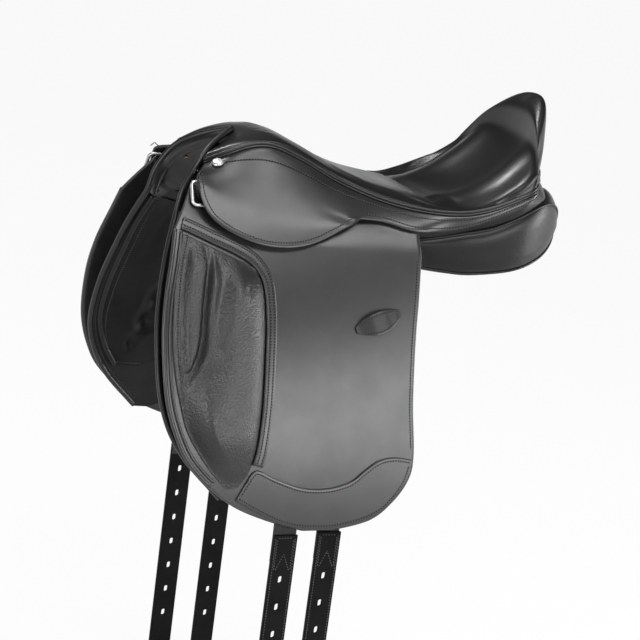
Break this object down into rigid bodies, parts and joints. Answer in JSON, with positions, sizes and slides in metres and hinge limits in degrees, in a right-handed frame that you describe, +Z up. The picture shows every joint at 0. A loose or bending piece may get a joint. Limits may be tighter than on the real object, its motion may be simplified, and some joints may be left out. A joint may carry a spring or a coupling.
{
  "type": "dressage saddle",
  "caption": "Black leather dressage saddle with a deep seat, lifting flaps and skirts, knee blocks, wool panels, stirrup bars with hinged catches, and long hanging girth straps.",
  "frame": {"origin": "on the middle plane, on the level of the panels' bearing faces, under the deepest part of the seat", "axes": "+X from pommel to cantle, +Z up, near (left) side towards -Y"},
  "size_m": [0.538, 0.4208, 0.8307],
  "materials": {
    "flap_leather": "smooth vegetable-tanned leather, semi-matt with a soft sheen",
    "seat_leather": "soft grained calf, low sheen",
    "panel_leather": "soft lining leather, low sheen",
    "strap_leather": "bridle leather, stitched edges",
    "webbing": "woven webbing",
    "tree": "laminated beech",
    "foam": "seat foam under the leather",
    "plate_steel": "satin steel",
    "bright_metal": "polished"
  },
  "bodies": {
    "saddle": {"tree_head": "tree", "tree_cantle": "tree", "gullet_plate": "plate_steel", "seat_webs": "webbing", "seat_foam": "foam", "seat_cover": "seat_leather", "seat_welt": "seat_leather", "near_tree_side": "tree", "near_tree_rail": "tree", "near_skirt_band": "flap_leather", "near_flap_head": "flap_leather", "near_sweat_flap": "panel_leather", "near_lining": "panel_leather", "near_panel": "panel_leather", "near_girth_webs": "webbing", "near_stirrup_bar": "plate_steel", "near_bar_rivets": "plate_steel", "near_catch_pin": "plate_steel", "near_dee_chape": "strap_leather", "near_stud": "bright_metal", "off_tree_side": "tree", "off_tree_rail": "tree", "off_skirt_band": "flap_leather", "off_flap_head": "flap_leather", "off_sweat_flap": "panel_leather", "off_lining": "panel_leather", "off_panel": "panel_leather", "off_girth_webs": "webbing", "off_stirrup_bar": "plate_steel", "off_bar_rivets": "plate_steel", "off_catch_pin": "plate_steel", "off_dee_chape": "strap_leather", "off_stud": "bright_metal"},
    "near_flap_body": {"near_flap": "flap_leather", "near_knee_block": "seat_leather", "near_flap_patch": "flap_leather", "near_keeper": "flap_leather"},
    "near_skirt_body": {"near_skirt": "flap_leather"},
    "near_catch_body": {"near_bar_catch": "plate_steel"},
    "near_dee_body": {"near_dee": "bright_metal"},
    "near_point_strap_body": {"near_point_web": "webbing", "near_point_strap": "strap_leather"},
    "near_balance_strap_body": {"near_balance_web": "webbing", "near_balance_strap": "strap_leather"},
    "off_flap_body": {"off_flap": "flap_leather", "off_knee_block": "seat_leather", "off_flap_patch": "flap_leather", "off_keeper": "flap_leather"},
    "off_skirt_body": {"off_skirt": "flap_leather"},
    "off_catch_body": {"off_bar_catch": "plate_steel"},
    "off_dee_body": {"off_dee": "bright_metal"},
    "off_point_strap_body": {"off_point_web": "webbing", "off_point_strap": "strap_leather"},
    "off_balance_strap_body": {"off_balance_web": "webbing", "off_balance_strap": "strap_leather"}
  },
  "joints": [
    {"name": "near_flap_lift", "type": "hinge", "parent": "saddle", "child": "near_flap_body", "pos_m": [-0.177, -0.11741, 0.0385], "axis": [-0.9961, 0.0676, 0.0561], "range_deg": [0, 50]},
    {"name": "off_flap_lift", "type": "hinge", "parent": "saddle", "child": "off_flap_body", "pos_m": [-0.177, 0.11741, 0.0385], "axis": [0.9961, 0.0676, -0.0561], "range_deg": [0, 50]},
    {"name": "near_skirt_lift", "type": "hinge", "parent": "saddle", "child": "near_skirt_body", "pos_m": [-0.1985, -0.09694, 0.087], "axis": [-0.9634, 0.1725, 0.2054], "range_deg": [0, 70]},
    {"name": "off_skirt_lift", "type": "hinge", "parent": "saddle", "child": "off_skirt_body", "pos_m": [-0.1985, 0.09694, 0.087], "axis": [0.9634, 0.1725, -0.2054], "range_deg": [0, 70]},
    {"name": "near_catch_turn", "type": "hinge", "parent": "saddle", "child": "near_catch_body", "pos_m": [-0.20808, -0.10177, 0.06519], "axis": [-0.0281, -0.88, 0.4742], "range_deg": [0, 80]},
    {"name": "off_catch_turn", "type": "hinge", "parent": "saddle", "child": "off_catch_body", "pos_m": [-0.20808, 0.10177, 0.06519], "axis": [0.0281, -0.88, -0.4742], "range_deg": [0, 80]},
    {"name": "near_dee_swing", "type": "hinge", "parent": "saddle", "child": "near_dee_body", "pos_m": [-0.28202, -0.08704, 0.08462], "axis": [0.01, 0.5166, 0.8562], "range_deg": [0, 6]},
    {"name": "off_dee_swing", "type": "hinge", "parent": "saddle", "child": "off_dee_body", "pos_m": [-0.28202, 0.08704, 0.08462], "axis": [-0.01, 0.5166, -0.8562], "range_deg": [0, 6]},
    {"name": "near_point_strap_swing", "type": "hinge", "parent": "saddle", "child": "near_point_strap_body", "pos_m": [-0.179, -0.11475, 0.012], "axis": [0, 1, 0], "range_deg": [-5, 5]},
    {"name": "off_point_strap_swing", "type": "hinge", "parent": "saddle", "child": "off_point_strap_body", "pos_m": [-0.179, 0.11475, 0.012], "axis": [0, 1, 0], "range_deg": [-5, 5]},
    {"name": "near_balance_strap_swing", "type": "hinge", "parent": "saddle", "child": "near_balance_strap_body", "pos_m": [-0.121, -0.10942, 0.012], "axis": [0, 1, 0], "range_deg": [-5, 5]},
    {"name": "off_balance_strap_swing", "type": "hinge", "parent": "saddle", "child": "off_balance_strap_body", "pos_m": [-0.121, 0.10942, 0.012], "axis": [0, 1, 0], "range_deg": [-5, 5]}
  ]
}
